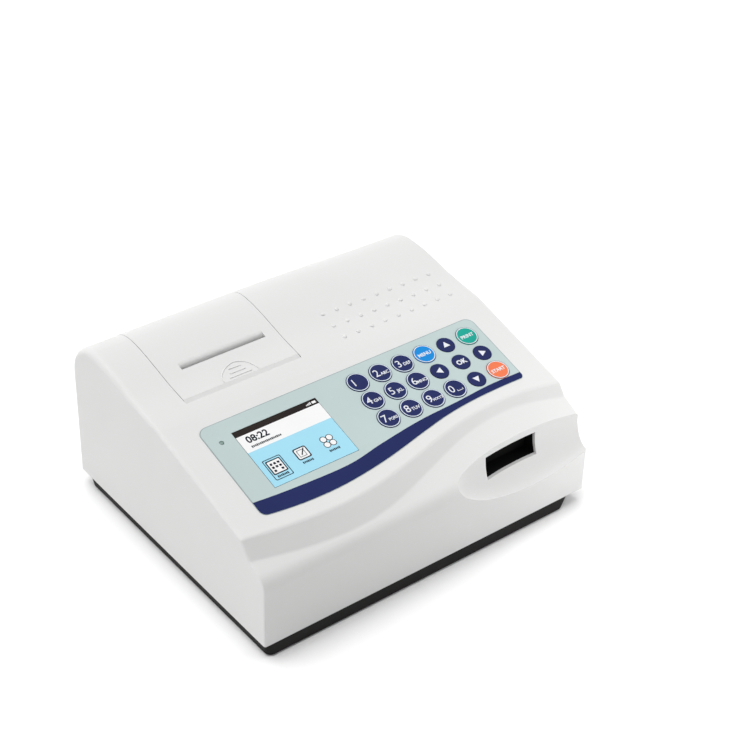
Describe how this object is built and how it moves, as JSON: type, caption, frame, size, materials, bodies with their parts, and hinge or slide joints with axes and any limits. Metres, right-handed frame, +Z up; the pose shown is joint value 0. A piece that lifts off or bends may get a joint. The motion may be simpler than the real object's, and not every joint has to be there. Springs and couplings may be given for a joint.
{
  "type": "desktop urine strip analyzer",
  "caption": "Desktop strip analyzer with a sloping key panel, colour display, built-in receipt printer under a hinged cover and a motor driven strip tray.",
  "frame": {"origin": "on the ground, under the middle of the casing", "axes": "+X to the operator's right, +Y to the back, +Z up"},
  "size_m": [0.284, 0.2352, 0.1285],
  "materials": {
    "shell": "fine satin moulded ABS",
    "base_black": "black textured ABS",
    "inner_black": "black moulded plastic",
    "inner_grey": "light grey moulded plastic",
    "white_plastic": "natural nylon",
    "film": "pale teal printed polyester film",
    "key_navy": "navy printed key",
    "key_blue": "blue printed key",
    "key_green": "green printed key",
    "key_orange": "orange printed key",
    "display": "lit colour display behind a clear sheet",
    "lamp": "clear lamp lens",
    "board_green": "green circuit board with its parts",
    "steel": "zinc plated sheet steel",
    "bright_steel": "bright plated steel",
    "aluminium": "drawn can and cast plate",
    "rubber": "black rubber",
    "port_black": "black nylon",
    "paper": "thermal paper",
    "lens": "polished glass",
    "pad": "white reference ceramic"
  },
  "bodies": {
    "casing": {"top_casing": "shell", "base_pan": "base_black", "rubber_feet": "rubber", "case_screws": "bright_steel", "chassis_plate": "steel", "main_board": "board_green", "rear_panel": "steel", "power_inlet": "port_black", "switch_frame": "port_black", "serial_port": "bright_steel", "usb_port": "bright_steel", "power_supply": "steel", "control_overlay": "film", "lcd_window": "display", "lcd_module": "board_green", "status_led": "lamp", "keypad_board": "board_green", "hinge_pin": "bright_steel", "printer_bay": "inner_grey", "printer_frame": "inner_black", "thermal_head": "aluminium", "head_spring": "steel", "printer_motor": "aluminium", "roll_spindle": "inner_grey", "paper_web": "paper", "tray_guide": "inner_black", "tray_motor": "aluminium", "optical_head": "inner_black", "head_lens": "lens"},
    "tray": {"strip_tray": "inner_black", "strip_holder": "white_plastic", "reference_pad": "pad", "tray_rack": "white_plastic"},
    "tray_drive": {"tray_pinion": "white_plastic"},
    "cover": {"printer_cover": "shell"},
    "paper_supply": {"paper_roll": "paper"},
    "platen": {"platen_roller": "rubber", "platen_shaft": "bright_steel", "platen_gear": "white_plastic"},
    "idler": {"idler_gear": "white_plastic"},
    "feed_pinion": {"motor_pinion": "white_plastic"},
    "rocker": {"power_rocker": "port_black"},
    "button_1": {"key_1": "key_navy"},
    "button_2": {"key_2": "key_navy"},
    "button_3": {"key_3": "key_navy"},
    "button_menu": {"key_menu": "key_blue"},
    "button_up": {"key_up": "key_navy"},
    "button_print": {"key_print": "key_green"},
    "button_4": {"key_4": "key_navy"},
    "button_5": {"key_5": "key_navy"},
    "button_6": {"key_6": "key_navy"},
    "button_left": {"key_left": "key_navy"},
    "button_ok": {"key_ok": "key_navy"},
    "button_right": {"key_right": "key_navy"},
    "button_7": {"key_7": "key_navy"},
    "button_8": {"key_8": "key_navy"},
    "button_9": {"key_9": "key_navy"},
    "button_0": {"key_0": "key_navy"},
    "button_down": {"key_down": "key_navy"},
    "button_start": {"key_start": "key_orange"}
  },
  "joints": [
    {"name": "tray_slide", "type": "slide", "parent": "casing", "child": "tray", "axis": [0, -1, 0], "range_m": [0, 0.095]},
    {"name": "tray_pinion_spin", "type": "hinge", "parent": "casing", "child": "tray_drive", "pos_m": [0.065, -0.0475, 0.04515], "axis": [1, 0, 0], "range_deg": [-5, 690]},
    {"name": "cover_hinge", "type": "hinge", "parent": "casing", "child": "cover", "pos_m": [-0.0625, 0.1051, 0.1212], "axis": [-1, 0, 0], "range_deg": [0, 95]},
    {"name": "roll_spin", "type": "hinge", "parent": "casing", "child": "paper_supply", "pos_m": [-0.062, 0.0825, 0.096], "axis": [1, 0, 0], "continuous": true},
    {"name": "platen_spin", "type": "hinge", "parent": "casing", "child": "platen", "pos_m": [-0.062, 0.0537, 0.109], "axis": [1, 0, 0], "continuous": true},
    {"name": "idler_spin", "type": "hinge", "parent": "casing", "child": "idler", "pos_m": [-0.025, 0.04438, 0.09789], "axis": [1, 0, 0], "continuous": true},
    {"name": "feed_pinion_spin", "type": "hinge", "parent": "casing", "child": "feed_pinion", "pos_m": [-0.025, 0.03325, 0.09593], "axis": [1, 0, 0], "continuous": true},
    {"name": "power_rocker_tilt", "type": "hinge", "parent": "casing", "child": "rocker", "pos_m": [0.06, 0.1131, 0.05], "axis": [0, 0, 1], "range_deg": [-18, 0]},
    {"name": "press_1", "type": "slide", "parent": "casing", "child": "button_1", "axis": [0, 0.2639, -0.9646], "range_m": [0, 0.00045], "stiffness_N_per_m": 1500},
    {"name": "press_2", "type": "slide", "parent": "casing", "child": "button_2", "axis": [0, 0.2639, -0.9646], "range_m": [0, 0.00045], "stiffness_N_per_m": 1500},
    {"name": "press_3", "type": "slide", "parent": "casing", "child": "button_3", "axis": [0, 0.2639, -0.9646], "range_m": [0, 0.00045], "stiffness_N_per_m": 1500},
    {"name": "press_menu", "type": "slide", "parent": "casing", "child": "button_menu", "axis": [0, 0.2639, -0.9646], "range_m": [0, 0.00045], "stiffness_N_per_m": 1500},
    {"name": "press_up", "type": "slide", "parent": "casing", "child": "button_up", "axis": [0, 0.2639, -0.9646], "range_m": [0, 0.00045], "stiffness_N_per_m": 1500},
    {"name": "press_print", "type": "slide", "parent": "casing", "child": "button_print", "axis": [0, 0.2639, -0.9646], "range_m": [0, 0.00045], "stiffness_N_per_m": 1500},
    {"name": "press_4", "type": "slide", "parent": "casing", "child": "button_4", "axis": [0, 0.2639, -0.9646], "range_m": [0, 0.00045], "stiffness_N_per_m": 1500},
    {"name": "press_5", "type": "slide", "parent": "casing", "child": "button_5", "axis": [0, 0.2639, -0.9646], "range_m": [0, 0.00045], "stiffness_N_per_m": 1500},
    {"name": "press_6", "type": "slide", "parent": "casing", "child": "button_6", "axis": [0, 0.2639, -0.9646], "range_m": [0, 0.00045], "stiffness_N_per_m": 1500},
    {"name": "press_left", "type": "slide", "parent": "casing", "child": "button_left", "axis": [0, 0.2639, -0.9646], "range_m": [0, 0.00045], "stiffness_N_per_m": 1500},
    {"name": "press_ok", "type": "slide", "parent": "casing", "child": "button_ok", "axis": [0, 0.2639, -0.9646], "range_m": [0, 0.00045], "stiffness_N_per_m": 1500},
    {"name": "press_right", "type": "slide", "parent": "casing", "child": "button_right", "axis": [0, 0.2639, -0.9646], "range_m": [0, 0.00045], "stiffness_N_per_m": 1500},
    {"name": "press_7", "type": "slide", "parent": "casing", "child": "button_7", "axis": [0, 0.2639, -0.9646], "range_m": [0, 0.00045], "stiffness_N_per_m": 1500},
    {"name": "press_8", "type": "slide", "parent": "casing", "child": "button_8", "axis": [0, 0.2639, -0.9646], "range_m": [0, 0.00045], "stiffness_N_per_m": 1500},
    {"name": "press_9", "type": "slide", "parent": "casing", "child": "button_9", "axis": [0, 0.2639, -0.9646], "range_m": [0, 0.00045], "stiffness_N_per_m": 1500},
    {"name": "press_0", "type": "slide", "parent": "casing", "child": "button_0", "axis": [0, 0.2639, -0.9646], "range_m": [0, 0.00045], "stiffness_N_per_m": 1500},
    {"name": "press_down", "type": "slide", "parent": "casing", "child": "button_down", "axis": [0, 0.2639, -0.9646], "range_m": [0, 0.00045], "stiffness_N_per_m": 1500},
    {"name": "press_start", "type": "slide", "parent": "casing", "child": "button_start", "axis": [0, 0.2639, -0.9646], "range_m": [0, 0.00045], "stiffness_N_per_m": 1500}
  ],
  "couplings": [
    {"joint": "tray_pinion_spin", "follows": "tray_slide", "rad_per_m": 125},
    {"joint": "platen_spin", "follows": "roll_spin", "ratio": 4.8},
    {"joint": "idler_spin", "follows": "roll_spin", "ratio": -6},
    {"joint": "feed_pinion_spin", "follows": "roll_spin", "ratio": 8}
  ]
}
